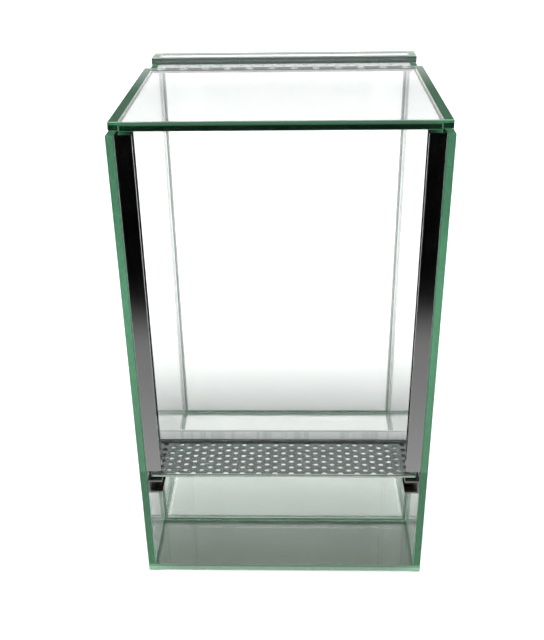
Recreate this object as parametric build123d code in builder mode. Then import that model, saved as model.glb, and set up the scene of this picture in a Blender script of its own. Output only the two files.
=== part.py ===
from build123d import *
import math
import os

# Small all-glass drop-door terrarium, in millimetres.
# The origin is the centre of the footprint on the standing surface, the front faces -Y and +Z is up.
# The glass panes are glued edge to edge with clear silicone. The door slides up out of two U-profiles.

# Case
case_width = 150.0
case_depth = 156.0
case_height = 250.0
base_glass = 4.0
wall_glass = 4.0
roof_glass = 4.0
edge_grind = 0.3

# Kick strip behind the open recess under the front vent
strip_glass = 4.0
strip_height = 62.0
strip_setback = 37.0

# Drop door
door_glass = 4.0
door_side_gap = 0.5
door_seat_gap = 0.2

# Aluminium U-profile, used upright as the door guide and lying as the bearer rail
profile_outer = 8.0
profile_flange = 7.5
profile_wall = 1.0
guide_setback = 0.5
guide_foot_gap = 5.7
rail_underside = 54.1

# Front vent: perforated aluminium sheet with a plain upstand at the rear
sheet_thickness = 1.0
sheet_side_gap = 0.2
front_sheet_setback = 7.5
upstand_height = 6.5
bend_radius = 0.6
front_hole = 3.0
front_pitch = 5.0
front_plain_rear = 1.5
front_plain_side = 1.5

# Roof: a set-back pane, a rear strip and perforated sheet under the slot between them
roof_setback = 7.5
roof_depth = 108.5
rear_strip_depth = 14.0
roof_sheet_lap = 5.0
roof_hole = 4.0
roof_pitch = 6.9
roof_plain_side = 2.0

# The punched holes repeat by the hundred, so each has a few flat sides
hole_sides = 10

# Silicone beads in the glued corners
bead_leg = 2.2
bead_hollow = 0.8

# Levels and planes that follow from the sizes above
front = -case_depth / 2
rear = case_depth / 2
wall_inner = case_width / 2 - wall_glass
back_inner = rear - wall_glass
roof_underside = case_height - roof_glass
wall_height = roof_underside - base_glass
clear_width = 2 * wall_inner
strip_front = front + strip_setback
strip_rear = strip_front + strip_glass
rail_top = rail_underside + profile_outer
sheet_underside = rail_top
sheet_top = sheet_underside + sheet_thickness
sheet_width = clear_width - 2 * sheet_side_gap
sheet_front = front + front_sheet_setback
upstand_front = strip_front - sheet_thickness
flat_depth = upstand_front - sheet_front
guide_middle = front + guide_setback + profile_outer / 2
guide_bottom = rail_top + guide_foot_gap
guide_rear = guide_middle + profile_outer / 2
web_inner = wall_inner - profile_wall
door_width = 2 * (web_inner - door_side_gap)
door_bottom = rail_top + door_seat_gap
roof_front = front + roof_setback
roof_rear = roof_front + roof_depth
rear_strip_front = rear - rear_strip_depth
roof_sheet_front = roof_rear - roof_sheet_lap
roof_sheet_rear = rear_strip_front + roof_sheet_lap
roof_sheet_underside = roof_underside - sheet_thickness
roof_sheet_middle = (roof_sheet_front + roof_sheet_rear) / 2
roof_sheet_depth = roof_sheet_rear - roof_sheet_front
cabin_depth = back_inner - strip_rear

# Perforation in a 60 degree triangular pattern: holes of one row stand a pitch times root three apart
row_align = (Align.CENTER, Align.MIN)
front_step = front_pitch * math.sqrt(3)
front_columns = math.floor((sheet_width - 2 * front_plain_side - front_hole) / front_step) + 1
front_rows = math.floor((flat_depth - front_plain_rear - front_hole / 2) / front_pitch) + 1
roof_step = roof_pitch * math.sqrt(3)
roof_columns = math.floor((sheet_width - 2 * roof_plain_side - roof_hole) / roof_step) + 1
roof_rows = math.floor((roof_sheet_depth - 2 * roof_plain_side - roof_hole) / roof_pitch) + 1


# Base pane, under all four walls
with BuildPart() as base_pane:
    with BuildSketch(Plane.XY):
        Rectangle(case_width, case_depth)
    extrude(amount=base_glass)
    chamfer(base_pane.edges(), length=edge_grind)
base_pane.part.label = "base_pane"

# Side panes, standing on the base over its full depth
with BuildPart() as side_pane_left:
    with BuildSketch(Plane.XY.offset(base_glass)):
        with Locations((-case_width / 2, 0)):
            Rectangle(wall_glass, case_depth, align=(Align.MIN, Align.CENTER))
    extrude(amount=wall_height)
    chamfer(side_pane_left.edges(), length=edge_grind)
side_pane_left.part.label = "side_pane_left"

with BuildPart() as side_pane_right:
    mirror(side_pane_left.part, about=Plane.YZ)
side_pane_right.part.label = "side_pane_right"

# Back pane, between the side panes and flush with the rear
with BuildPart() as back_pane:
    with BuildSketch(Plane.XY.offset(base_glass)):
        with Locations((0, rear)):
            Rectangle(clear_width, wall_glass, align=(Align.CENTER, Align.MAX))
    extrude(amount=wall_height)
    chamfer(back_pane.edges(), length=edge_grind)
back_pane.part.label = "back_pane"

# Kick strip, set back so that air can rise through the vent in front of it
with BuildPart() as kick_strip:
    with BuildSketch(Plane.XY.offset(base_glass)):
        with Locations((0, strip_front)):
            Rectangle(clear_width, strip_glass, align=(Align.CENTER, Align.MIN))
    extrude(amount=strip_height)
    chamfer(kick_strip.edges(), length=edge_grind)
kick_strip.part.label = "kick_strip"

# Bearer rails: the U-profile lies along each side pane, open towards the middle
with BuildPart() as bearer_rail_left:
    with BuildSketch(Plane.XZ.offset(-front)):
        with Locations((-wall_inner, rail_underside)):
            Rectangle(profile_flange, profile_outer, align=(Align.MIN, Align.MIN))
        with Locations((-wall_inner + profile_wall, rail_underside + profile_wall)):
            Rectangle(
                profile_flange,
                profile_outer - 2 * profile_wall,
                align=(Align.MIN, Align.MIN),
                mode=Mode.SUBTRACT,
            )
    extrude(amount=-strip_setback)
bearer_rail_left.part.label = "bearer_rail_left"

with BuildPart() as bearer_rail_right:
    mirror(bearer_rail_left.part, about=Plane.YZ)
bearer_rail_right.part.label = "bearer_rail_right"

# Door guides: the same U-profile upright, its web on the side pane and open towards the middle
with BuildPart() as door_guide_left:
    with BuildSketch(Plane.XY.offset(guide_bottom)):
        with Locations((-wall_inner, guide_middle)):
            Rectangle(profile_flange, profile_outer, align=(Align.MIN, Align.CENTER))
        with Locations((-web_inner, guide_middle)):
            Rectangle(
                profile_flange,
                profile_outer - 2 * profile_wall,
                align=(Align.MIN, Align.CENTER),
                mode=Mode.SUBTRACT,
            )
    extrude(amount=roof_underside - guide_bottom)
door_guide_left.part.label = "door_guide_left"

with BuildPart() as door_guide_right:
    mirror(door_guide_left.part, about=Plane.YZ)
door_guide_right.part.label = "door_guide_right"

# Drop door, standing on the front ends of the bearer rails and flush with the roof
with BuildPart() as drop_door:
    with BuildSketch(Plane.XY.offset(door_bottom)):
        with Locations((0, guide_middle)):
            Rectangle(door_width, door_glass)
    extrude(amount=case_height - door_bottom)
    chamfer(drop_door.edges(), length=edge_grind)
drop_door.part.label = "drop_door"

# Front vent sheet: an angle bent from one sheet, then perforated. The pattern runs off the front edge.
with BuildPart() as front_vent_sheet:
    with BuildSketch(Plane.YZ.offset(-sheet_width / 2)):
        with BuildLine():
            Polyline(
                (sheet_front, sheet_underside),
                (strip_front, sheet_underside),
                (strip_front, sheet_top + upstand_height),
                (upstand_front, sheet_top + upstand_height),
                (upstand_front, sheet_top),
                (sheet_front, sheet_top),
                close=True,
            )
        make_face()
    extrude(amount=sheet_width)
    bend_line = front_vent_sheet.edges().filter_by(Axis.X).group_by(Axis.Z)[1].sort_by(Axis.Y)[-1]
    fillet(bend_line, bend_radius)
    heel_line = front_vent_sheet.edges().filter_by(Axis.X).group_by(Axis.Z)[0].sort_by(Axis.Y)[-1]
    fillet(heel_line, bend_radius + sheet_thickness)
    with BuildSketch(Plane.XY.offset(sheet_top)):
        with Locations((0, sheet_front)):
            with GridLocations(front_step, front_pitch, front_columns, front_rows, align=row_align):
                RegularPolygon(front_hole / 2, hole_sides)
        with Locations((0, sheet_front + front_pitch / 2)):
            with GridLocations(front_step, front_pitch, front_columns - 1, front_rows - 1, align=row_align):
                RegularPolygon(front_hole / 2, hole_sides)
    extrude(amount=-sheet_thickness, mode=Mode.SUBTRACT)
front_vent_sheet.part.label = "front_vent_sheet"

# Roof pane, glued on the side panes and set back to leave the door's slot free
with BuildPart() as roof_pane:
    with BuildSketch(Plane.XY.offset(roof_underside)):
        with Locations((0, roof_front)):
            Rectangle(case_width, roof_depth, align=(Align.CENTER, Align.MIN))
    extrude(amount=roof_glass)
    chamfer(roof_pane.edges(), length=edge_grind)
roof_pane.part.label = "roof_pane"

# Rear roof strip, over the back pane
with BuildPart() as roof_rear_strip:
    with BuildSketch(Plane.XY.offset(roof_underside)):
        with Locations((0, rear)):
            Rectangle(case_width, rear_strip_depth, align=(Align.CENTER, Align.MAX))
    extrude(amount=roof_glass)
    chamfer(roof_rear_strip.edges(), length=edge_grind)
roof_rear_strip.part.label = "roof_rear_strip"

# Roof vent sheet, glued under the roof pane and the rear strip, between the side panes
with BuildPart() as roof_vent_sheet:
    with BuildSketch(Plane.XY.offset(roof_sheet_underside)):
        with Locations((0, roof_sheet_middle)):
            Rectangle(sheet_width, roof_sheet_depth)
            with GridLocations(roof_step, roof_pitch, roof_columns, roof_rows):
                RegularPolygon(roof_hole / 2, hole_sides, mode=Mode.SUBTRACT)
            with GridLocations(roof_step, roof_pitch, roof_columns - 1, roof_rows - 1):
                RegularPolygon(roof_hole / 2, hole_sides, mode=Mode.SUBTRACT)
    extrude(amount=sheet_thickness)
roof_vent_sheet.part.label = "roof_vent_sheet"

# Section of a silicone bead, tooled hollow, with its corner at the sketch origin
with BuildSketch() as bead_section:
    with BuildLine():
        Polyline((bead_leg, 0), (0, 0), (0, bead_leg))
        ThreePointArc((0, bead_leg), (bead_hollow, bead_hollow), (bead_leg, 0))
    make_face()

# Bead round the cabin floor, mitred at its corners
with BuildPart() as floor_bead:
    with BuildSketch(Plane.XY.offset(base_glass)):
        with Locations((0, strip_rear)):
            Rectangle(clear_width, cabin_depth, align=row_align)
    extrude(amount=bead_leg)
    with BuildSketch(Plane.XY.offset(base_glass + bead_leg)):
        with Locations((0, strip_rear)):
            Rectangle(clear_width, cabin_depth, align=row_align)
    extrude(amount=-bead_leg, taper=45, mode=Mode.SUBTRACT)
floor_bead.part.label = "floor_bead"

# Upright beads in the rear corners, from the floor bead to the roof vent
with BuildPart() as corner_bead_left:
    corner = (-wall_inner, back_inner, base_glass + bead_leg)
    with BuildSketch(Plane(origin=corner, x_dir=(0, -1, 0), z_dir=(0, 0, 1))):
        add(bead_section.sketch)
    extrude(amount=roof_sheet_underside - base_glass - bead_leg)
corner_bead_left.part.label = "corner_bead_left"

with BuildPart() as corner_bead_right:
    mirror(corner_bead_left.part, about=Plane.YZ)
corner_bead_right.part.label = "corner_bead_right"

# Beads of the kick strip, in the recess: upright to the rails, and one along the base between them
with BuildPart() as strip_bead_left:
    corner = (-wall_inner, strip_front, base_glass)
    with BuildSketch(Plane(origin=corner, x_dir=(0, -1, 0), z_dir=(0, 0, 1))):
        add(bead_section.sketch)
    extrude(amount=rail_underside - base_glass)
strip_bead_left.part.label = "strip_bead_left"

with BuildPart() as strip_bead_right:
    mirror(strip_bead_left.part, about=Plane.YZ)
strip_bead_right.part.label = "strip_bead_right"

with BuildPart() as strip_bead_base:
    corner = (wall_inner - bead_leg, strip_front, base_glass)
    with BuildSketch(Plane(origin=corner, x_dir=(0, -1, 0), z_dir=(-1, 0, 0))):
        add(bead_section.sketch)
    extrude(amount=clear_width - 2 * bead_leg)
strip_bead_base.part.label = "strip_bead_base"

# Beads under the roof pane, from the door guides to the roof vent
with BuildPart() as roof_bead_left:
    corner = (-wall_inner, guide_rear, roof_underside)
    with BuildSketch(Plane(origin=corner, x_dir=(1, 0, 0), z_dir=(0, 1, 0))):
        add(bead_section.sketch)
    extrude(amount=roof_sheet_front - guide_rear)
roof_bead_left.part.label = "roof_bead_left"

with BuildPart() as roof_bead_right:
    mirror(roof_bead_left.part, about=Plane.YZ)
roof_bead_right.part.label = "roof_bead_right"

os.makedirs("parts", exist_ok=True)
pieces = [
    base_pane,
    side_pane_left,
    side_pane_right,
    back_pane,
    kick_strip,
    bearer_rail_left,
    bearer_rail_right,
    door_guide_left,
    door_guide_right,
    drop_door,
    front_vent_sheet,
    roof_pane,
    roof_rear_strip,
    roof_vent_sheet,
    floor_bead,
    corner_bead_left,
    corner_bead_right,
    strip_bead_left,
    strip_bead_right,
    strip_bead_base,
    roof_bead_left,
    roof_bead_right,
]
for piece in pieces:
    export_step(piece.part, f"parts/{piece.part.label}.step")
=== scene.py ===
import bpy
from bpy.props import FloatProperty, FloatVectorProperty, IntProperty, PointerProperty
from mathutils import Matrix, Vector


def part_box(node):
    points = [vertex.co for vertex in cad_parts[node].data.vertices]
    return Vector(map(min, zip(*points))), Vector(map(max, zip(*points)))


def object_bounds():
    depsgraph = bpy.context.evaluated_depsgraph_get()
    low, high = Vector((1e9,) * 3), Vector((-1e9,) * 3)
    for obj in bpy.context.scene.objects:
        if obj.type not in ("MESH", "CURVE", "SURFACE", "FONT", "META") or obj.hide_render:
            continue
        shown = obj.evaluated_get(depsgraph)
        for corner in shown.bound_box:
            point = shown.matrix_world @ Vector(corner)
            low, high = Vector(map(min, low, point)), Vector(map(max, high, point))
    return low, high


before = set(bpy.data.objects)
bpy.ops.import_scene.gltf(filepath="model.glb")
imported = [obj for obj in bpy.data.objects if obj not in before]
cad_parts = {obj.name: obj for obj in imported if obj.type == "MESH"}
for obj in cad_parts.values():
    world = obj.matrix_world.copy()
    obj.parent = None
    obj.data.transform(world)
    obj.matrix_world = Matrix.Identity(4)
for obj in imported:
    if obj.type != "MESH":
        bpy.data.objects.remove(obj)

bl_info = {
    "name": "Drop-door Terrarium",
    "version": (1, 0, 0),
    "blender": (4, 5, 0),
    "location": "3D View > Sidebar > Terrarium",
    "description": "Finishes a glued glass terrarium with a drop door, on a pale studio floor",
    "category": "Object",
}

CAD_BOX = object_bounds()
X_AXIS, Y_AXIS, Z_AXIS = (1.0, 0.0, 0.0), (0.0, 1.0, 0.0), (0.0, 0.0, 1.0)

# Everywhere: the mean of a noise, and the depth of fine relief in metres
NOISE_MEAN = 0.5
RELIEF_DEPTH = 0.00005

# Glass: how squarely a surface faces along the thickness, from cut edge to bevel and to face
BEVEL_TURN = (0.3, 0.5)
FACE_TURN = (0.85, 0.95)
# Glass: places on the cut edges in metres where painted light and shade change, and the streaks
# along them. The door's stretch of brighter painted glow runs on past its top.
BORDER_ZONE = (0.0011, 0.0018)
NO_SPLIT = -0.01
SPLIT_SOFTNESS = 0.0002
BRIGHT_FOOT_SOFTNESS = 0.001
BRIGHT_TOP_SOFTNESS = 0.025
SIDE_BRIGHT_TOP = 0.195
DOOR_BRIGHT_FOOT = 0.24
DOOR_BRIGHT_TOP = 0.48
STREAK_SCALE = 700.0
STREAK_SHADES = (0.8, 1.2)
GLASS_RELIEF = 0.1
GLASS_IOR = 1.52

# Grain: its fineness along each axis, the fineness of the clouds over it, and how much it varies
UPRIGHT_GRAIN = ((3000.0, 3000.0, 40.0), 90.0, 0.05)
LYING_GRAIN = ((3000.0, 40.0, 3000.0), 90.0, 0.05)
SHEET_GRAIN = ((120.0, 2500.0, 2500.0), 140.0, 0.1)
BEAD_GRAIN = ((300.0, 300.0, 300.0), 200.0, 0.12)
METAL_RELIEF = 0.12

# Profiles: X times the normal's X, this low only on faces that look inward, and the rails' top
# These places take painted shade
INWARD_ZONE = (-0.03, -0.05)
UPWARD_TURN = (0.4, 0.6)
RAIL_TOP_ZONE = tuple(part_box("bearer_rail_left")[1][2] - depth for depth in (0.0003, 0.0001))

# Front sheet: heights over its flat part, places before its bend, and heights at its upper edge
# The upstand takes painted light, and the place before the bend painted shade
SHEET_THICKNESS = 0.001
UPSTAND_ZONE = (0.0006, 0.0011)
CREASE_ZONE = (-0.0034, -0.0022)
LIP_ZONE = (-0.0004, -0.0002)
UPSTAND_STREAKS = (260.0, 0.0, 8.0)
STREAK_ZONE = (0.45, 0.65)

# Beads: how quickly a bead thins out towards its margins
FEATHER_POWER = 1.5
SILICONE_IOR = 1.41

# Studio: the stage pieces and the light, in metres, and the finish of the floor and the shade sheet
FLOOR_HEIGHT = -0.0004
UNDERLAY_HEIGHT = -0.0002
UNDERLAY_INSET = 0.001
CARD_HEIGHT = 0.0005
CARD_SIZE = 4.0
LIGHT_HEIGHT = 1.2
FLOOR_ROUGHNESS = 0.7
UNDERLAY_ROUGHNESS = 0.8
FLOOR_FADE_POWER = 2.0
# Studio: the mirrored room, by how far a direction points up, and for front and rear along Y
DIM_BAND_FOOT = (0.196, 0.230)
PANEL_FOOT = (0.30, 0.45)
CEILING_FOOT = (0.35, 0.45)
ZENITH_ZONE = (0.66, 0.98)
FRONT_TO_REAR = (-0.25, 0.25)
# Studio: the camera, how many mirrorings a ray may have, and the count that tells one from none
FILM_WIDTH = 36.0
NEAREST_SEEN = 0.01
GLOSS_DEPTH = 12
AT_LEAST_ONCE = 0.5


def middle_of(node, axis):
    """Distance of a pane's middle plane from the origin, along the axis through its thickness."""
    low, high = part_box(node)
    return abs(low[axis] + high[axis]) / 2


def leg_of(node, axis):
    """Length of a piece along an axis."""
    low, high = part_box(node)
    return high[axis] - low[axis]


# Each kind of pane: the axis through its thickness, and how its cut edges differ from the usual
# green. Split and the share below it give the part nearer the origin a painted share of the light,
# lighter or darker, and the gain paints a brighter glow on the stretch from foot to top.
PANES = {
    "float_glass_base": {
        "pieces": ("base_pane",),
        "axis": Z_AXIS,
        "middle": middle_of("base_pane", 2),
        # Painted light: the lower part of the base's cut edges is painted lighter
        "split": 0.0007,
        "painted_share_below": 1.7,
        "arris": (0.02, 0.07, 0.045),
        "glow": (1.2, 1.75, 1.37),
    },
    "float_glass_roof": {
        "pieces": ("roof_pane",),
        "axis": Z_AXIS,
        "middle": middle_of("roof_pane", 2),
        # Painted shade: the lower part of the roof's cut edges is painted dark
        "split": 0.0006,
        "painted_share_below": 0.1,
        "arris": (0.10, 0.25, 0.17),
        "glow": (0.2, 1.0, 0.5),
    },
    "float_glass_rear_strip": {
        "pieces": ("roof_rear_strip",),
        "axis": Z_AXIS,
        "middle": middle_of("roof_rear_strip", 2),
        "cut_edge": (0.012, 0.016, 0.014),
        "glow": (0.42, 0.52, 0.47),
    },
    "float_glass_back": {
        "pieces": ("back_pane",),
        "axis": Y_AXIS,
        "middle": middle_of("back_pane", 1),
        "cut_edge": (0.75, 0.80, 0.775),
        "arris": (0.45, 0.52, 0.48),
        "glow": (0.08, 0.16, 0.11),
    },
    "float_glass_kick_strip": {
        "pieces": ("kick_strip",),
        "axis": Y_AXIS,
        "middle": middle_of("kick_strip", 1),
    },
    "float_glass_side": {
        "pieces": ("side_pane_left", "side_pane_right"),
        "axis": X_AXIS,
        "middle": middle_of("side_pane_left", 0),
        # Painted light: a brighter glow on the cut edges from the guides' foot up
        "foot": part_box("door_guide_left")[0][2],
        "top": SIDE_BRIGHT_TOP,
        "gain": 0.7,
        "roughness": 0.12,
    },
}
DOOR = {
    "pieces": ("drop_door",),
    "axis": Y_AXIS,
    "middle": middle_of("drop_door", 1),
    "cut_edge": (0.02, 0.05, 0.035),
    # A near-black arris: painted shade on the door's ground bevels
    "arris": (0.0, 0.002, 0.001),
    "arris_roughness": 0.05,
    "glow": (0.10, 0.38, 0.19),
    # Painted light: a brighter glow at the top of the door's cut edges
    "foot": DOOR_BRIGHT_FOOT,
    "top": DOOR_BRIGHT_TOP,
    "gain": 2.2,
    "roughness": 0.05,
}
GUIDES = ("door_guide_left", "door_guide_right")
RAILS = ("bearer_rail_left", "bearer_rail_right")
# Each kind of bead: the axis that crosses it, where it starts on that axis and how far it reaches
BEADS = {
    "clear_silicone_upright": {
        "pieces": (
            "corner_bead_left",
            "corner_bead_right",
            "strip_bead_left",
            "strip_bead_right",
            "roof_bead_left",
            "roof_bead_right",
        ),
        "axis": X_AXIS,
        "start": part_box("corner_bead_right")[0][0],
        "leg": leg_of("corner_bead_right", 0),
    },
    "clear_silicone_lying": {
        "pieces": ("floor_bead", "strip_bead_base"),
        "axis": Z_AXIS,
        "start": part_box("floor_bead")[0][2],
        "leg": leg_of("floor_bead", 2),
    },
}


class GlassSettings(bpy.types.PropertyGroup):
    """Colours and finish of the float glass panes."""

    face: FloatVectorProperty(
        name="Face",
        description="Tint of the polished faces of a pane",
        subtype="COLOR",
        default=(0.975, 0.99, 0.982),
        min=0.0,
        max=1.0,
    )
    cut_edge: FloatVectorProperty(
        name="Cut edge",
        description="Green of the cut edges, where light travels along the pane",
        subtype="COLOR",
        default=(0.012, 0.05, 0.026),
        min=0.0,
        max=1.0,
    )
    arris: FloatVectorProperty(
        name="Arris",
        description="Colour of the narrow ground bevel along each edge",
        subtype="COLOR",
        default=(0.42, 0.62, 0.52),
        min=0.0,
        max=1.0,
    )
    glow: FloatVectorProperty(
        name="Glow",
        # Painted green glow on the cut edges, an emission that stands in for light gathered along
        # the pane
        description="Green light that a cut edge lets out, gathered along the pane",
        subtype="COLOR",
        default=(0.42, 1.0, 0.60),
        min=0.0,
        max=1.0,
    )
    border: FloatProperty(
        name="Border",
        # Share of its light that a cut edge keeps next to its bevels, as painted shade along them
        description="Share of its light that a cut edge keeps next to its bevels",
        subtype="FACTOR",
        default=0.75,
        min=0.0,
        max=1.0,
    )
    glow_strength: FloatProperty(
        name="Glow strength",
        # Brightness of the painted glow at the cut edges
        description="Brightness of the light at the cut edges",
        default=0.11,
        min=0.0,
    )
    cut_edge_roughness: FloatProperty(
        name="Cut edge roughness",
        description="Roughness of the ground cut edges",
        subtype="FACTOR",
        default=0.25,
        min=0.0,
        max=1.0,
    )
    arris_roughness: FloatProperty(
        name="Arris roughness",
        description="Roughness of the narrow ground bevels",
        subtype="FACTOR",
        default=0.35,
        min=0.0,
        max=1.0,
    )


class MetalSettings(bpy.types.PropertyGroup):
    """Colours and finish of the aluminium profiles and vent sheets."""

    profile: FloatVectorProperty(
        name="Profile",
        description="Colour of the upright U-profiles",
        subtype="COLOR",
        default=(0.80, 0.80, 0.80),
        min=0.0,
        max=1.0,
    )
    rail: FloatVectorProperty(
        name="Rail",
        description="Colour of the lying U-profiles",
        subtype="COLOR",
        default=(0.46, 0.45, 0.43),
        min=0.0,
        max=1.0,
    )
    inside_painted_shade: FloatVectorProperty(
        name="Inside shade",
        # Painted shade on the inside and the lips of the U-profiles, on faces that look inward
        description="Colour of the dull inside and raw lips of the U-profiles",
        subtype="COLOR",
        default=(0.17, 0.18, 0.16),
        min=0.0,
        max=1.0,
    )
    rail_top: FloatVectorProperty(
        name="Rail top",
        description="Colour of the upper face of the lying U-profiles, in the shade of the door",
        subtype="COLOR",
        default=(0.04, 0.05, 0.045),
        min=0.0,
        max=1.0,
    )
    inside_metal: FloatProperty(
        name="Inside metal",
        # How far the inside of a U-profile, under its painted shade, mirrors its surroundings as
        # metal does
        description="How far the dull inside of a U-profile mirrors its surroundings as metal does",
        subtype="FACTOR",
        default=0.1,
        min=0.0,
        max=1.0,
    )
    profile_roughness: FloatProperty(
        name="Profile roughness",
        description="Mean roughness of the drawn U-profiles",
        subtype="FACTOR",
        default=0.11,
        min=0.0,
        max=1.0,
    )
    front_sheet: FloatVectorProperty(
        name="Front sheet",
        description="Colour of the perforated part of the front vent sheet",
        subtype="COLOR",
        default=(0.36, 0.41, 0.395),
        min=0.0,
        max=1.0,
    )
    upstand: FloatVectorProperty(
        name="Upstand",
        # Colour of the bright upstand of the front vent sheet, painted light that stands in for the
        # light it catches
        description="Colour of the bright upstand of the front vent sheet",
        subtype="COLOR",
        default=(1.0, 1.0, 1.0),
        min=0.0,
        max=1.0,
    )
    crease_painted_shade: FloatVectorProperty(
        name="Crease shade",
        # Colour of the painted shade along the bend of the front vent sheet
        description="Colour of the dull line along the bend of the front vent sheet",
        subtype="COLOR",
        default=(0.05, 0.055, 0.055),
        min=0.0,
        max=1.0,
    )
    upstand_shade: FloatVectorProperty(
        name="Upstand shade",
        # Colour of the duller streaks across the painted light of the upstand
        description="Colour of the duller streaks across the upstand",
        subtype="COLOR",
        default=(0.85, 0.87, 0.865),
        min=0.0,
        max=1.0,
    )
    upstand_lip: FloatVectorProperty(
        name="Upstand lip",
        description="Colour of the cut upper edge of the upstand",
        subtype="COLOR",
        default=(0.30, 0.32, 0.31),
        min=0.0,
        max=1.0,
    )
    upstand_metal: FloatProperty(
        name="Upstand metal",
        # How far the upstand, under its painted light, mirrors its surroundings as metal does
        description="How far the satin upstand mirrors its surroundings as metal does",
        subtype="FACTOR",
        default=0.0,
        min=0.0,
        max=1.0,
    )
    roof_sheet: FloatVectorProperty(
        name="Roof sheet",
        description="Colour of the roof vent sheet",
        subtype="COLOR",
        default=(0.90, 0.91, 0.91),
        min=0.0,
        max=1.0,
    )
    roof_sheet_metal: FloatProperty(
        name="Roof sheet metal",
        description="How far the satin roof vent sheet mirrors its surroundings as metal does",
        subtype="FACTOR",
        default=0.65,
        min=0.0,
        max=1.0,
    )
    front_sheet_roughness: FloatProperty(
        name="Front sheet roughness",
        description="Mean roughness of the front vent sheet",
        subtype="FACTOR",
        default=0.24,
        min=0.0,
        max=1.0,
    )
    upstand_roughness: FloatProperty(
        name="Upstand roughness",
        description="Roughness of the satin upstand",
        subtype="FACTOR",
        default=0.6,
        min=0.0,
        max=1.0,
    )
    roof_sheet_roughness: FloatProperty(
        name="Roof sheet roughness",
        description="Mean roughness of the roof vent sheet",
        subtype="FACTOR",
        default=0.5,
        min=0.0,
        max=1.0,
    )


class SealantSettings(bpy.types.PropertyGroup):
    """Colour and finish of the clear silicone beads, which cover most along their middle."""

    bead: FloatVectorProperty(
        name="Bead",
        description="Tint of the clear silicone",
        subtype="COLOR",
        default=(0.07, 0.11, 0.085),
        min=0.0,
        max=1.0,
    )
    bead_cover: FloatProperty(
        name="Bead cover",
        description="How much each side of a bead hides what is behind it, along its thick middle",
        subtype="FACTOR",
        default=0.42,
        min=0.0,
        max=1.0,
    )
    bead_roughness: FloatProperty(
        name="Bead roughness",
        description="Mean roughness of the tooled silicone",
        subtype="FACTOR",
        default=0.3,
        min=0.0,
        max=1.0,
    )


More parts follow.
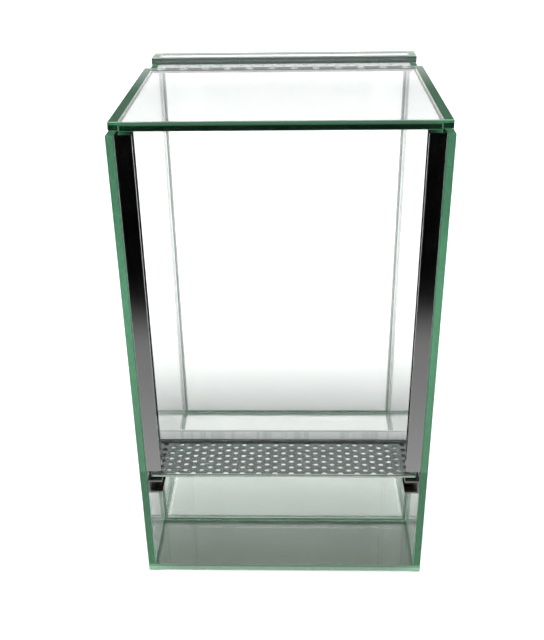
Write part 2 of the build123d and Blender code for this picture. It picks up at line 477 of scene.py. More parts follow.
class StudioSettings(bpy.types.PropertyGroup):
    """Floor, light and camera of the studio."""

    floor: FloatVectorProperty(
        name="Floor",
        description="Colour of the plain floor",
        subtype="COLOR",
        default=(0.92, 0.92, 0.92),
        min=0.0,
        max=1.0,
    )
    floor_beyond: FloatProperty(
        name="Floor beyond glass",
        # Tone of the floor where it shows through the panes, far from the case, a slight painted
        # shade
        description="Tone of the floor where it shows through the panes, far from the case",
        subtype="FACTOR",
        default=0.97,
        min=0.0,
        max=1.0,
    )
    floor_beside: FloatProperty(
        name="Floor beside case",
        # Tone of the floor where it shows through the panes, right beside the case, a painted
        # shadow
        description="Tone of the floor where it shows through the panes, right beside the case",
        subtype="FACTOR",
        default=0.28,
        min=0.0,
        max=1.0,
    )
    floor_shade: FloatProperty(
        name="Floor shade",
        # How far from the case the floor behind the panes stays darker, in its painted shadow
        description="How far from the case the floor behind the panes stays darker",
        unit="LENGTH",
        default=0.22,
        min=0.001,
    )
    floor_size: FloatProperty(
        name="Floor size",
        description="Length of each side of the floor",
        unit="LENGTH",
        default=12.0,
        min=1.0,
    )
    backdrop: FloatProperty(
        name="Backdrop",
        description="Brightness of the backdrop low behind the case, where it is mirrored",
        default=1.0,
        min=0.0,
    )
    backdrop_direct: FloatProperty(
        name="Backdrop direct",
        description="Brightness of the backdrop, where it is seen directly or through the panes",
        default=1.35,
        min=0.0,
    )
    upper_rear: FloatProperty(
        name="Upper rear",
        description="Brightness of the dim band above the mirrored backdrop",
        default=0.12,
        min=0.0,
    )
    ceiling: FloatProperty(
        name="Ceiling",
        description="Brightness of the mirrored ceiling above the rear",
        default=0.3,
        min=0.0,
    )
    zenith: FloatProperty(
        name="Zenith",
        description="Brightness of the mirrored ceiling straight above the case",
        default=0.75,
        min=0.0,
    )
    upper_front: FloatProperty(
        name="Upper front",
        description="Brightness of the soft panel high in front",
        default=1.1,
        min=0.0,
    )
    fill: FloatProperty(
        name="Fill",
        description="Share of the room's light that falls on plain surfaces",
        subtype="FACTOR",
        default=0.25,
        min=0.0,
        max=1.0,
    )
    card_grey: FloatProperty(
        name="Card grey",
        description="Brightness of the grey card in front, at its far end, seen only in gloss",
        default=0.22,
        min=0.0,
    )
    card_reach: FloatProperty(
        name="Card reach",
        description="How far the grey card reaches in front of the case before it fades to black",
        unit="LENGTH",
        default=0.24,
        min=0.0,
    )
    card_near: FloatProperty(
        name="Card near",
        description="How much brighter the grey card is next to the case than at its far end",
        default=1.75,
        min=1.0,
    )
    card_fade: FloatProperty(
        name="Card fade",
        description="Length over which the grey card fades to black",
        unit="LENGTH",
        default=0.10,
        min=0.001,
    )
    painted_shade_front: FloatVectorProperty(
        name="Painted shade front",
        # Painted shade on the sheet under the recess, at the front of the case
        description="Tone of the grey paper under the recess, at the front of the case",
        subtype="COLOR",
        default=(0.13, 0.156, 0.129),
        min=0.0,
        max=1.0,
    )
    painted_shade_strip: FloatVectorProperty(
        name="Painted shade at the strip",
        # Painted shade on the sheet under the recess, at the kick strip
        description="Tone of the grey paper under the recess, at the kick strip",
        subtype="COLOR",
        default=(0.256, 0.289, 0.262),
        min=0.0,
        max=1.0,
    )
    painted_shade_cabin: FloatVectorProperty(
        name="Painted shade cabin",
        # Painted shade on the sheet under the cabin, behind the kick strip
        description="Tone of the grey paper under the cabin, behind the kick strip",
        subtype="COLOR",
        default=(0.40, 0.423, 0.398),
        min=0.0,
        max=1.0,
    )
    painted_shade_rear: FloatVectorProperty(
        name="Painted shade rear",
        # Painted shade on the sheet under the cabin, at the back pane
        description="Tone of the grey paper under the cabin, at the back pane",
        subtype="COLOR",
        default=(0.64, 0.625, 0.625),
        min=0.0,
        max=1.0,
    )
    overhead_power: FloatProperty(
        name="Overhead power",
        description="Light that falls on the floor from overhead, in watts per square metre",
        default=5.2,
        min=0.0,
    )
    overhead_softness: FloatProperty(
        name="Overhead softness",
        description="Angle that the overhead light spans in the sky",
        subtype="ANGLE",
        default=1.1,
        min=0.01,
    )
    camera_place: FloatVectorProperty(
        name="Camera place",
        description="Where the camera stands",
        subtype="TRANSLATION",
        unit="LENGTH",
        default=(0.0069, -0.4473, 0.35217),
    )
    camera_turn: FloatVectorProperty(
        name="Camera turn",
        description="How the camera is turned",
        subtype="EULER",
        unit="ROTATION",
        default=(1.084879, 0.013718, 0.023544),
    )
    camera_lens: FloatProperty(
        name="Camera lens",
        description="Focal length over a 36 mm frame",
        unit="CAMERA",
        default=49.807,
        min=1.0,
    )
    light_paths: IntProperty(
        name="Light path depth",
        description="How many glass surfaces a ray may pass",
        default=40,
        min=4,
    )


def opaque(colour):
    """A colour with full alpha, as a colour socket takes it."""
    return (*colour, 1.0)


def connect(tree, node, inputs):
    """Gives a node's sockets their sources, which are other nodes' outputs or plain values."""
    for label, source in inputs.items():
        socket = node.inputs[label]
        if isinstance(source, bpy.types.NodeSocket):
            tree.links.new(source, socket)
        else:
            socket.default_value = source


def add(tree, kind, place, inputs, **settings):
    """A new node at its place in the tree, with its settings and its inputs."""
    node = tree.nodes.new(kind)
    node.location = place
    for key, value in settings.items():
        setattr(node, key, value)
    connect(tree, node, inputs)
    return node


def coordinates(tree, place):
    """The places and directions that a pattern can follow."""
    return add(tree, "ShaderNodeTexCoord", place, {}).outputs


def parts_of(tree, place, vector):
    """The X, Y and Z of a vector."""
    return add(tree, "ShaderNodeSeparateXYZ", place, {"Vector": vector}).outputs


def value_of(tree, operation, place, *sources, **settings):
    """A math node on one or two sources, and its result."""
    inputs = dict(enumerate(sources))
    return add(tree, "ShaderNodeMath", place, inputs, operation=operation, **settings).outputs[0]


def vector_of(tree, operation, place, first, second):
    """A vector math node on two sources, and its result."""
    inputs = {0: first, "Scale" if operation == "SCALE" else 1: second}
    node = add(tree, "ShaderNodeVectorMath", place, inputs, operation=operation)
    return node.outputs["Value" if operation == "DOT_PRODUCT" else "Vector"]


def mix_value(tree, place, factor, first, second):
    """A value that goes from the first to the second as the factor goes from 0 to 1."""
    inputs = {"Factor": factor, "A": first, "B": second}
    return add(tree, "ShaderNodeMix", place, inputs, data_type="FLOAT").outputs["Result"]


def mix_colour(tree, place, factor, first, second):
    """A colour that goes from the first to the second as the factor goes from 0 to 1."""
    inputs = {"Factor": factor, "A": first, "B": second}
    return add(tree, "ShaderNodeMix", place, inputs, data_type="RGBA").outputs["Result"]


def ramp(tree, place, source, low, high):
    """A soft step of a value, from 0 at low to 1 at high."""
    inputs = {"Value": source, "From Min": low, "From Max": high}
    node = add(tree, "ShaderNodeMapRange", place, inputs, interpolation_type="SMOOTHSTEP")
    return node.outputs["Result"]


def noise(tree, place, vector, scale, detail):
    """Soft noise that follows a vector."""
    inputs = {"Vector": vector, "Scale": scale, "Detail": detail}
    return add(tree, "ShaderNodeTexNoise", place, inputs).outputs["Fac"]


def new_group(name, inputs, outputs):
    """A new node group with its sockets: its tree, what its start puts out, and its end."""
    tree = bpy.data.node_groups.new(name, "ShaderNodeTree")
    for label, kind, value in inputs:
        socket = tree.interface.new_socket(label, in_out="INPUT", socket_type=kind)
        socket.default_value = value
    for label, kind in outputs:
        tree.interface.new_socket(label, in_out="OUTPUT", socket_type=kind)
    start = add(tree, "NodeGroupInput", (-900, 0), {})
    end = add(tree, "NodeGroupOutput", (700, 0), {})
    return tree, start.outputs, end


def place_group(tree, group, values, place=(-420, 0)):
    """Places a node group in a material, with its own values, and gives what it puts out."""
    return add(tree, "ShaderNodeGroup", place, values, node_tree=group).outputs


def new_material(name):
    """A new material, its tree and its shader."""
    material = bpy.data.materials.new(name)
    material.use_nodes = True
    tree = material.node_tree
    return material, tree, tree.nodes["Principled BSDF"]


def add_relief(tree, shader, height, strength):
    """Gives a material fine relief, from a height that changes over the surface."""
    inputs = {"Strength": strength, "Distance": RELIEF_DEPTH, "Height": height}
    relief = add(tree, "ShaderNodeBump", (-180, -260), inputs)
    connect(tree, shader, {"Normal": relief.outputs["Normal"]})


def pane_edge_group():
    """Colours a pane: clear faces, green cut edges painted lighter or darker to one side, ground
    bevels.
    """
    name = "Pane Edge"
    if name in bpy.data.node_groups:
        return bpy.data.node_groups[name]
    tree, given, end = new_group(
        name,
        (
            ("Face Colour", "NodeSocketColor", (1.0, 1.0, 1.0, 1.0)),
            ("Cut Edge Colour", "NodeSocketColor", (0.2, 0.5, 0.3, 1.0)),
            ("Arris Colour", "NodeSocketColor", (0.4, 0.6, 0.5, 1.0)),
            ("Glow Colour", "NodeSocketColor", (0.1, 0.3, 0.2, 1.0)),
            ("Thickness Axis", "NodeSocketVector", (0.0, 0.0, 1.0)),
            ("Middle", "NodeSocketFloat", 0.0),
            ("Split", "NodeSocketFloat", 0.0),
            ("Painted Share Below", "NodeSocketFloat", 1.0),
            ("Border Share", "NodeSocketFloat", 0.8),
            ("Bright Foot", "NodeSocketFloat", 0.0),
            ("Bright Top", "NodeSocketFloat", 0.0),
            ("Bright Gain", "NodeSocketFloat", 0.0),
            ("Cut Edge Roughness", "NodeSocketFloat", 0.1),
            ("Arris Roughness", "NodeSocketFloat", 0.35),
        ),
        (
            ("Colour", "NodeSocketColor"),
            ("Roughness", "NodeSocketFloat"),
            ("Glow", "NodeSocketColor"),
            ("Grind", "NodeSocketFloat"),
        ),
    )
    place = coordinates(tree, (-1300, 300))

    # Faces, bevels and cut edges, by how squarely the surface faces along the thickness
    facing = vector_of(tree, "DOT_PRODUCT", (-1100, 200), place["Normal"], given["Thickness Axis"])
    turn = value_of(tree, "ABSOLUTE", (-940, 200), facing)
    flat = ramp(tree, (-780, 260), turn, *FACE_TURN)
    sloped = ramp(tree, (-780, 60), turn, *BEVEL_TURN)

    # Painted share of light and shade at each place across the thickness
    along = vector_of(tree, "DOT_PRODUCT", (-1100, -200), place["Object"], given["Thickness Axis"])
    level = value_of(tree, "ABSOLUTE", (-940, -200), along)
    across = value_of(tree, "SUBTRACT", (-780, -200), level, given["Middle"])
    from_split = value_of(tree, "SUBTRACT", (-620, -200), across, given["Split"])
    upper = ramp(tree, (-460, -200), from_split, -SPLIT_SOFTNESS, SPLIT_SOFTNESS)
    painted_share_below = mix_value(tree, (-300, -200), upper, given["Painted Share Below"], 1.0)
    # Painted shade: a cut edge keeps less of its light next to its bevels
    off_middle = value_of(tree, "ABSOLUTE", (-620, -380), across)
    border = ramp(tree, (-460, -380), off_middle, *BORDER_ZONE)
    rim = mix_value(tree, (-300, -380), border, 1.0, given["Border Share"])
    profile = value_of(tree, "MULTIPLY", (-140, -280), painted_share_below, rim)

    # Streaks left by the cutter and the grinding belt
    streaks = noise(tree, (-1100, 560), place["Object"], STREAK_SCALE, detail=3.0)
    darkest, lightest = STREAK_SHADES
    shades = {"Value": streaks, "To Min": darkest, "To Max": lightest}
    shade = add(tree, "ShaderNodeMapRange", (-900, 560), shades).outputs["Result"]
    share = value_of(tree, "MULTIPLY", (20, -280), profile, shade)

    # A stretch up the pane whose cut edges get a brighter painted glow, from a sharp foot to a soft
    # top
    height = parts_of(tree, (-1100, -560), place["Object"])["Z"]
    from_foot = value_of(tree, "SUBTRACT", (-940, -560), height, given["Bright Foot"])
    from_top = value_of(tree, "SUBTRACT", (-940, -720), height, given["Bright Top"])
    past_foot = ramp(tree, (-780, -560), from_foot, -BRIGHT_FOOT_SOFTNESS, BRIGHT_FOOT_SOFTNESS)
    below_top = ramp(tree, (-780, -720), from_top, BRIGHT_TOP_SOFTNESS, -BRIGHT_TOP_SOFTNESS)
    stretch = value_of(tree, "MULTIPLY", (-620, -640), past_foot, below_top)
    more = value_of(tree, "MULTIPLY", (-460, -640), stretch, given["Bright Gain"])
    gain = value_of(tree, "ADD", (-300, -640), more, 1.0)

    # Light is tinted on its way in and on its way out, so the colour takes the painted share twice
    twice = value_of(tree, "MULTIPLY", (180, -280), share, share)
    edge = vector_of(tree, "SCALE", (180, 460), given["Cut Edge Colour"], twice)
    ground = mix_colour(tree, (340, 380), sloped, edge, given["Arris Colour"])
    # Painted light: the cut edges' glow, by their painted share and their brighter stretch
    lit_share = value_of(tree, "MULTIPLY", (20, -560), share, gain)
    lit = vector_of(tree, "SCALE", (180, -480), given["Glow Colour"], lit_share)
    ground_rough = mix_value(
        tree, (340, 40), sloped, given["Cut Edge Roughness"], given["Arris Roughness"]
    )
    results = {
        "Colour": mix_colour(tree, (500, 300), flat, ground, given["Face Colour"]),
        "Roughness": mix_value(tree, (500, 40), flat, ground_rough, 0.0),
        "Glow": mix_colour(tree, (500, -320), flat, lit, opaque((0.0, 0.0, 0.0))),
        "Grind": mix_value(tree, (500, -120), flat, streaks, NOISE_MEAN),
    }
    connect(tree, end, results)
    return tree


def feather_group():
    """How much a bead covers: most along its thick middle, and nothing at its two thin margins."""
    name = "Bead Feather"
    if name in bpy.data.node_groups:
        return bpy.data.node_groups[name]
    tree, given, end = new_group(
        name,
        (
            ("Across Axis", "NodeSocketVector", (1.0, 0.0, 0.0)),
            ("Start", "NodeSocketFloat", 0.0),
            ("Leg", "NodeSocketFloat", 0.002),
            ("Cover", "NodeSocketFloat", 0.4),
        ),
        (("Cover", "NodeSocketFloat"),),
    )
    place = coordinates(tree, (-900, 300))
    along = vector_of(tree, "DOT_PRODUCT", (-720, 200), place["Object"], given["Across Axis"])
    level = value_of(tree, "ABSOLUTE", (-560, 200), along)
    past = value_of(tree, "SUBTRACT", (-400, 200), level, given["Start"])
    share = value_of(tree, "DIVIDE", (-240, 200), past, given["Leg"])
    rest = value_of(tree, "SUBTRACT", (-80, 100), 1.0, share)
    hump = value_of(tree, "MULTIPLY", (80, 160), share, rest)
    # The product peaks at a quarter, halfway across, so four times it peaks at 1
    full = value_of(tree, "MULTIPLY", (240, 160), hump, 4.0)
    inside = value_of(tree, "MAXIMUM", (320, 60), full, 0.0)
    crest = value_of(tree, "POWER", (400, 160), inside, FEATHER_POWER)
    connect(tree, end, {"Cover": value_of(tree, "MULTIPLY", (560, 160), crest, given["Cover"])})
    return tree


def grain_group():
    """Fine drawn or rolled grain: lines along one axis, with slow cloudy changes over them."""
    name = "Metal Grain"
    if name in bpy.data.node_groups:
        return bpy.data.node_groups[name]
    tree, given, end = new_group(
        name,
        (
            ("Colour", "NodeSocketColor", (0.8, 0.8, 0.8, 1.0)),
            ("Line Scale", "NodeSocketVector", (4000.0, 4000.0, 60.0)),
            ("Cloud Scale", "NodeSocketFloat", 60.0),
            ("Roughness", "NodeSocketFloat", 0.2),
            ("Variation", "NodeSocketFloat", 0.06),
        ),
        (
            ("Colour", "NodeSocketColor"),
            ("Roughness", "NodeSocketFloat"),
            ("Height", "NodeSocketFloat"),
        ),
    )
    place = coordinates(tree, (-900, 300))
    stretched = vector_of(tree, "MULTIPLY", (-700, 300), place["Object"], given["Line Scale"])
    lines = noise(tree, (-520, 300), stretched, scale=1.0, detail=2.0)
    clouds = noise(tree, (-520, 0), place["Object"], given["Cloud Scale"], detail=3.0)
    both = value_of(tree, "ADD", (-320, 160), lines, clouds)
    centred = value_of(tree, "SUBTRACT", (-160, 160), both, 2 * NOISE_MEAN)
    change = value_of(tree, "MULTIPLY", (0, 160), centred, given["Variation"])
    lift = value_of(tree, "ADD", (180, 240), change, 1.0)
    results = {
        "Colour": vector_of(tree, "SCALE", (360, 240), given["Colour"], lift),
        "Roughness": value_of(tree, "ADD", (180, 40), change, given["Roughness"], use_clamp=True),
        "Height": lines,
    }
    connect(tree, end, results)
    return tree


def place_grain(tree, colour, grain, roughness):
    """Places the grain in a material, from one of the grains in the table at the top."""
    lines, clouds, variation = grain
    values = {
        "Colour": opaque(colour),
        "Line Scale": lines,
        "Cloud Scale": clouds,
        "Roughness": roughness,
        "Variation": variation,
    }
    return place_group(tree, grain_group(), values)


def metal_grain(tree, shader, colour, grain, roughness):
    """Makes a material metal, with its grain, its roughness and its fine relief."""
    placed = place_grain(tree, colour, grain, roughness)
    connect(tree, shader, {"Metallic": 1.0, "Roughness": placed["Roughness"]})
    add_relief(tree, shader, placed["Height"], METAL_RELIEF)
    return placed


def glass_material(name, pane):
    """Float glass for one kind of pane, whose table gives the look of its cut edges."""
    settings = bpy.context.scene.terrarium_glass
    material, tree, shader = new_material(name)
    values = {
        "Face Colour": opaque(settings.face),
        "Cut Edge Colour": opaque(pane.get("cut_edge", settings.cut_edge)),
        "Arris Colour": opaque(pane.get("arris", settings.arris)),
        "Glow Colour": opaque(pane.get("glow", settings.glow)),
        "Thickness Axis": pane["axis"],
        "Middle": pane["middle"],
        "Split": pane.get("split", NO_SPLIT),
        "Painted Share Below": pane.get("painted_share_below", 1.0),
        "Border Share": settings.border,
        "Bright Foot": pane.get("foot", 0.0),
        "Bright Top": pane.get("top", 0.0),
        "Bright Gain": pane.get("gain", 0.0),
        "Cut Edge Roughness": pane.get("roughness", settings.cut_edge_roughness),
        "Arris Roughness": pane.get("arris_roughness", settings.arris_roughness),
    }
    edge = place_group(tree, pane_edge_group(), values)
    look = {
        "Base Color": edge["Colour"],
        "Roughness": edge["Roughness"],
        # Painted light: the cut edges glow, standing in for light gathered along the pane
        "Emission Color": edge["Glow"],
        "Emission Strength": settings.glow_strength,
        "Transmission Weight": 1.0,
        "IOR": GLASS_IOR,
    }
    connect(tree, shader, look)
    add_relief(tree, shader, edge["Grind"], GLASS_RELIEF)
    return material


def studio_world(settings):
    """A plain bright backdrop that is mirrored as a room with bright and dim zones."""
    world = bpy.data.worlds.new("studio_room")
    world.use_nodes = True
    tree = world.node_tree
    way = parts_of(tree, (-720, 0), coordinates(tree, (-900, 0))["Generated"])
    panel = ramp(tree, (-540, 60), way["Z"], *PANEL_FOOT)
    front = mix_value(tree, (-340, 60), panel, 0.0, settings.upper_front)
    above = ramp(tree, (-540, 260), way["Z"], *DIM_BAND_FOOT)
    low_rear = mix_value(tree, (-340, 260), above, settings.backdrop, settings.upper_rear)
    overhead = ramp(tree, (-540, 460), way["Z"], *CEILING_FOOT)
    rear = mix_value(tree, (-340, 460), overhead, low_rear, settings.ceiling)
    behind = ramp(tree, (-540, -160), way["Y"], *FRONT_TO_REAR)
    sides = mix_value(tree, (-160, 320), behind, front, rear)
    top = ramp(tree, (-340, 640), way["Z"], *ZENITH_ZONE)
    mirrored_room = mix_value(tree, (0, 400), top, sides, settings.zenith)
    path = add(tree, "ShaderNodeLightPath", (-540, -400), {}).outputs
    mirrored = value_of(tree, "GREATER_THAN", (-340, -400), path["Glossy Depth"], AT_LEAST_ONCE)
    room = mix_value(tree, (-160, 160), mirrored, settings.backdrop_direct, mirrored_room)
    scattered = value_of(tree, "GREATER_THAN", (-340, -240), path["Diffuse Depth"], AT_LEAST_ONCE)
    share = mix_value(tree, (-160, -100), scattered, 1.0, settings.fill)
    power = value_of(tree, "MULTIPLY", (20, 60), room, share)
    connect(tree, tree.nodes["Background"], {"Color": opaque((1.0, 1.0, 1.0)), "Strength": power})
    return world


def floor_paper(settings):
    """White paper that shows a little darker through the panes as painted shade, most of all beside
    the case.
    """
    material, tree, shader = new_material("studio_paper")
    spot = parts_of(tree, (-940, 0), coordinates(tree, (-1100, 0))["Object"])
    gaps = []
    for row, axis in enumerate("XY"):
        size = value_of(tree, "ABSOLUTE", (-780, -160 * row), spot[axis])
        gaps.append(value_of(tree, "SUBTRACT", (-640, -160 * row), size, CAD_BOX[1][row]))
    gap = value_of(tree, "MAXIMUM", (-500, 0), *gaps)
    fade = {"Value": gap, "From Max": settings.floor_shade, "To Min": 1.0, "To Max": 0.0}
    away = add(tree, "ShaderNodeMapRange", (-360, 0), fade).outputs["Result"]
    near = value_of(tree, "POWER", (-200, 0), away, FLOOR_FADE_POWER)
    # Painted shadow: seen through the panes, the floor darkens towards the case
    grey = mix_value(tree, (-60, 0), near, settings.floor_beyond, settings.floor_beside)
    path = add(tree, "ShaderNodeLightPath", (-360, 300), {}).outputs
    passed = value_of(tree, "GREATER_THAN", (-200, 300), path["Transmission Depth"], AT_LEAST_ONCE)
    tone = mix_colour(tree, (100, 100), passed, opaque(settings.floor), grey)
    connect(tree, shader, {"Base Color": tone, "Roughness": FLOOR_ROUGHNESS})
    return material


def painted_shade_underlay(settings):
    """A grey sheet of painted shade under the case, darkest under the recess, in the shade of the
    vent sheet.
    """
    half = CAD_BOX[1][0]
    front, rear = (corner[1] for corner in CAD_BOX)
    bpy.ops.mesh.primitive_plane_add(size=2.0, location=(0.0, 0.0, UNDERLAY_HEIGHT))
    painted_shade_sheet = bpy.context.object
    painted_shade_sheet.name = "studio_painted_shade_underlay"
    painted_shade_sheet.scale = (half - UNDERLAY_INSET, rear - UNDERLAY_INSET, 1.0)
    bpy.ops.object.transform_apply(location=True, rotation=False, scale=True)
    material, tree, shader = new_material("studio_painted_shade")
    depth = parts_of(tree, (-740, 0), coordinates(tree, (-900, 0))["Object"])["Y"]
    strip_front, strip_rear = (corner[1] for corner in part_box("kick_strip"))
    # Painted shade: darkest at the front of the recess, lighter at the kick strip and on to the
    # back pane
    recess = ramp(tree, (-540, 200), depth, front, strip_front)
    cabin = ramp(tree, (-540, 0), depth, strip_rear, rear)
    beyond = ramp(tree, (-540, -200), depth, strip_front, strip_rear)
    near = mix_colour(
        tree, (-340, 200), recess, opaque(settings.painted_shade_front), opaque(settings.painted_shade_strip)
    )
    far = mix_colour(
        tree, (-340, 0), cabin, opaque(settings.painted_shade_cabin), opaque(settings.painted_shade_rear)
    )
    tone = mix_colour(tree, (-160, 100), beyond, near, far)
    connect(tree, shader, {"Base Color": tone, "Roughness": UNDERLAY_ROUGHNESS})
    painted_shade_sheet.data.materials.append(material)


def gloss_card(settings):
    """A card in front of the case that only gloss sees: grey near the case and black beyond."""
    near = CAD_BOX[0][1]
    middle = (0.0, near - CARD_SIZE / 2, CARD_HEIGHT)
    bpy.ops.mesh.primitive_plane_add(size=CARD_SIZE, location=middle)
    card = bpy.context.object
    card.name = "studio_gloss_card"
    bpy.ops.object.transform_apply(location=True, rotation=False, scale=False)
    material, tree, shader = new_material("studio_grey_card")
    depth = parts_of(tree, (-540, 0), coordinates(tree, (-700, 0))["Object"])["Y"]
    edge = near - settings.card_reach
    lit = ramp(tree, (-360, 0), depth, edge - settings.card_fade, edge)
    close = ramp(tree, (-360, 200), depth, edge, near)
    level = mix_value(tree, (-180, 200), close, 1.0, settings.card_near)
    path = add(tree, "ShaderNodeLightPath", (-540, -300), {}).outputs
    look = {
        "Base Color": opaque((0.0, 0.0, 0.0)),
        "Specular IOR Level": 0.0,
        "Emission Strength": settings.card_grey,
        "Emission Color": value_of(tree, "MULTIPLY", (-20, 100), lit, level),
        "Alpha": value_of(tree, "GREATER_THAN", (-360, -300), path["Glossy Depth"], AT_LEAST_ONCE),
    }
    connect(tree, shader, look)
    card.data.materials.append(material)
    card.visible_camera = False
    card.visible_diffuse = False
    card.visible_shadow = False


def dress(names, material):
    """Gives CAD pieces their material. A missing piece stops the script."""
    for name in names:
        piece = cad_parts[name]
        piece.data.materials.clear()
        piece.data.materials.append(material)


class TERRARIUM_OT_finish_panes(bpy.types.Operator):
    """Finish the fixed panes as clear float glass with green cut edges"""

    bl_idname = "terrarium.finish_panes"
    bl_label = "Finish Panes"

    def execute(self, context):
        for name, pane in PANES.items():
            dress(pane["pieces"], glass_material(name, pane))
        return {"FINISHED"}


class TERRARIUM_OT_finish_door(bpy.types.Operator):
    """Finish the drop door as clear float glass with ground edges"""

    bl_idname = "terrarium.finish_door"
    bl_label = "Finish Door"

    def execute(self, context):
        dress(DOOR["pieces"], glass_material("float_glass_door", DOOR))
        return {"FINISHED"}


class TERRARIUM_OT_finish_profiles(bpy.types.Operator):
    """Finish the door guides and bearer rails as drawn aluminium"""

    bl_idname = "terrarium.finish_profiles"
    bl_label = "Finish Profiles"

    def execute(self, context):
        settings = context.scene.terrarium_metal
        for name, pieces, colour, grain in (
            ("drawn_aluminium_upright", GUIDES, settings.profile, UPRIGHT_GRAIN),
            ("drawn_aluminium_lying", RAILS, settings.rail, LYING_GRAIN),
        ):
            material, tree, shader = new_material(name)
            drawn = metal_grain(tree, shader, colour, grain, settings.profile_roughness)
            place = coordinates(tree, (-900, 400))
            spot = parts_of(tree, (-740, 500), place["Object"])
            turn = parts_of(tree, (-740, 340), place["Normal"])
            outward = value_of(tree, "MULTIPLY", (-560, 420), spot["X"], turn["X"])
            inward = ramp(tree, (-400, 420), outward, *INWARD_ZONE)
            upward = ramp(tree, (-560, 640), turn["Z"], *UPWARD_TURN)
            high_up = ramp(tree, (-560, 800), spot["Z"], *RAIL_TOP_ZONE)
            upper_face = value_of(tree, "MULTIPLY", (-400, 640), upward, high_up)
            # Painted shade: faces that look inward take a dark colour and less metal, the rails'
            # top a darker one
            darkened = mix_colour(tree, (-300, 500), inward, drawn["Colour"], opaque(settings.inside_painted_shade))
            face = mix_colour(tree, (-140, 400), upper_face, darkened, opaque(settings.rail_top))
            metal = mix_value(tree, (-200, 240), inward, 1.0, settings.inside_metal)
            connect(tree, shader, {"Metallic": metal, "Base Color": face})
            dress(pieces, material)
        return {"FINISHED"}


class TERRARIUM_OT_finish_sheets(bpy.types.Operator):
    """Finish the perforated vent sheets as mill-finish aluminium"""

    bl_idname = "terrarium.finish_sheets"
    bl_label = "Finish Sheets"

    def execute(self, context):
        settings = context.scene.terrarium_metal

        material, tree, shader = new_material("mill_finish_front_sheet")
        rolled = metal_grain(
            tree, shader, settings.front_sheet, SHEET_GRAIN, settings.front_sheet_roughness
        )
        place = coordinates(tree, (-900, 500))
        spot = parts_of(tree, (-740, 500), place["Object"])
        low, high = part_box("front_vent_sheet")
        top = low[2] + SHEET_THICKNESS
        bend = high[1] - SHEET_THICKNESS
        # Painted light: the upstand takes a near-white colour and less metal than the flat part
        risen = ramp(tree, (-560, 600), spot["Z"], *(top + rise for rise in UPSTAND_ZONE))
        # Painted shade: a dark line on the flat part just before its bend
        near_bend = ramp(tree, (-560, 400), spot["Y"], *(bend + gap for gap in CREASE_ZONE))
        flat = mix_colour(tree, (-240, 400), near_bend, rolled["Colour"], opaque(settings.crease_painted_shade))
        across = vector_of(tree, "MULTIPLY", (-740, 760), place["Object"], UPSTAND_STREAKS)
        streaks = noise(tree, (-560, 800), across, scale=1.0, detail=3.0)
        darkened = ramp(tree, (-400, 800), streaks, *STREAK_ZONE)
        painted_upstand_light = mix_colour(
            tree, (-240, 700), darkened, opaque(settings.upstand), opaque(settings.upstand_shade)
        )
        lip = ramp(tree, (-240, 900), spot["Z"], *(high[2] + rise for rise in LIP_ZONE))
        face = mix_colour(tree, (-120, 700), lip, painted_upstand_light, opaque(settings.upstand_lip))
        look = {
            "Base Color": mix_colour(tree, (-60, 500), risen, flat, face),
            "Roughness": mix_value(
                tree, (-60, 300), risen, rolled["Roughness"], settings.upstand_roughness
            ),
            "Metallic": mix_value(tree, (-60, 160), risen, 1.0, settings.upstand_metal),
        }
        connect(tree, shader, look)
        dress(("front_vent_sheet",), material)

        material, tree, shader = new_material("mill_finish_roof_sheet")
        rolled = metal_grain(
            tree, shader, settings.roof_sheet, SHEET_GRAIN, settings.roof_sheet_roughness
        )
        connect(
            tree, shader, {"Base Color": rolled["Colour"], "Metallic": settings.roof_sheet_metal}
        )
        dress(("roof_vent_sheet",), material)
        return {"FINISHED"}


class TERRARIUM_OT_finish_beads(bpy.types.Operator):
    """Finish the silicone beads as clear, slightly milky rubber"""

    bl_idname = "terrarium.finish_beads"
    bl_label = "Finish Beads"

    def execute(self, context):
        settings = context.scene.terrarium_sealant
        for name, bead in BEADS.items():
            material, tree, shader = new_material(name)
            grain = place_grain(tree, settings.bead, BEAD_GRAIN, settings.bead_roughness)
            values = {
                "Across Axis": bead["axis"],
                "Start": bead["start"],
                "Leg": bead["leg"],
                "Cover": settings.bead_cover,
            }
            feather = place_group(tree, feather_group(), values, (-420, -300))
            look = {
                "Base Color": grain["Colour"],
                "Roughness": grain["Roughness"],
                "Alpha": feather["Cover"],
                "IOR": SILICONE_IOR,
            }
            connect(tree, shader, look)
            dress(bead["pieces"], material)
        return {"FINISHED"}


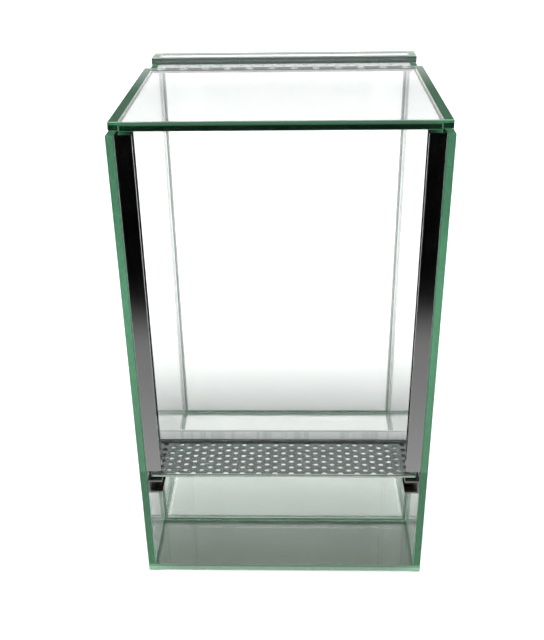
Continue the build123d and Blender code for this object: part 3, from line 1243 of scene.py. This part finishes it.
class TERRARIUM_OT_build_studio(bpy.types.Operator):
    """Build the plain pale floor, the soft light and the camera"""

    bl_idname = "terrarium.build_studio"
    bl_label = "Build Studio"

    def execute(self, context):
        scene = context.scene
        settings = scene.terrarium_studio
        bpy.ops.object.select_all(action="DESELECT")

        middle = (0.0, 0.0, FLOOR_HEIGHT)
        bpy.ops.mesh.primitive_plane_add(size=settings.floor_size, location=middle)
        floor = context.object
        floor.name = "studio_floor"
        floor.data.materials.append(floor_paper(settings))

        bpy.ops.object.light_add(type="SUN", location=(0.0, 0.0, LIGHT_HEIGHT))
        light = context.object
        light.name = "overhead_light"
        light.data.energy = settings.overhead_power
        light.data.angle = settings.overhead_softness
        light.visible_glossy = False

        painted_shade_underlay(settings)
        gloss_card(settings)
        scene.world = studio_world(settings)

        bpy.ops.object.camera_add(location=settings.camera_place, rotation=settings.camera_turn)
        camera = context.object
        camera.name = "studio_camera"
        camera.data.lens = settings.camera_lens
        camera.data.sensor_width = FILM_WIDTH
        camera.data.clip_start = NEAREST_SEEN
        scene.camera = camera

        scene.view_settings.view_transform = "Standard"
        scene.cycles.max_bounces = settings.light_paths
        scene.cycles.transmission_bounces = settings.light_paths
        scene.cycles.glossy_bounces = GLOSS_DEPTH
        scene.cycles.blur_glossy = 0.0
        return {"FINISHED"}


class TERRARIUM_PT_sidebar(bpy.types.Panel):
    """Lists the steps that finish the terrarium"""

    bl_idname = "TERRARIUM_PT_sidebar"
    bl_label = "Terrarium"
    bl_space_type = "VIEW_3D"
    bl_region_type = "UI"
    bl_category = "Terrarium"

    def draw(self, context):
        layout = self.layout
        for name in SETTINGS:
            group = getattr(context.scene, name)
            box = layout.box()
            for key in group.__annotations__:
                box.prop(group, key)
        for step in STEPS:
            layout.operator(step.bl_idname)


SETTINGS = {
    "terrarium_glass": GlassSettings,
    "terrarium_metal": MetalSettings,
    "terrarium_sealant": SealantSettings,
    "terrarium_studio": StudioSettings,
}
STEPS = (
    TERRARIUM_OT_finish_panes,
    TERRARIUM_OT_finish_door,
    TERRARIUM_OT_finish_profiles,
    TERRARIUM_OT_finish_sheets,
    TERRARIUM_OT_finish_beads,
    TERRARIUM_OT_build_studio,
)


def register():
    for kind in (*SETTINGS.values(), *STEPS, TERRARIUM_PT_sidebar):
        bpy.utils.register_class(kind)
    for name, kind in SETTINGS.items():
        setattr(bpy.types.Scene, name, PointerProperty(type=kind))


def unregister():
    for name in SETTINGS:
        delattr(bpy.types.Scene, name)
    for kind in reversed((*SETTINGS.values(), *STEPS, TERRARIUM_PT_sidebar)):
        bpy.utils.unregister_class(kind)


def main():
    register()
    bpy.ops.terrarium.finish_panes()
    bpy.ops.terrarium.finish_door()
    bpy.ops.terrarium.finish_profiles()
    bpy.ops.terrarium.finish_sheets()
    bpy.ops.terrarium.finish_beads()
    bpy.ops.terrarium.build_studio()


if __name__ == "__main__":
    main()
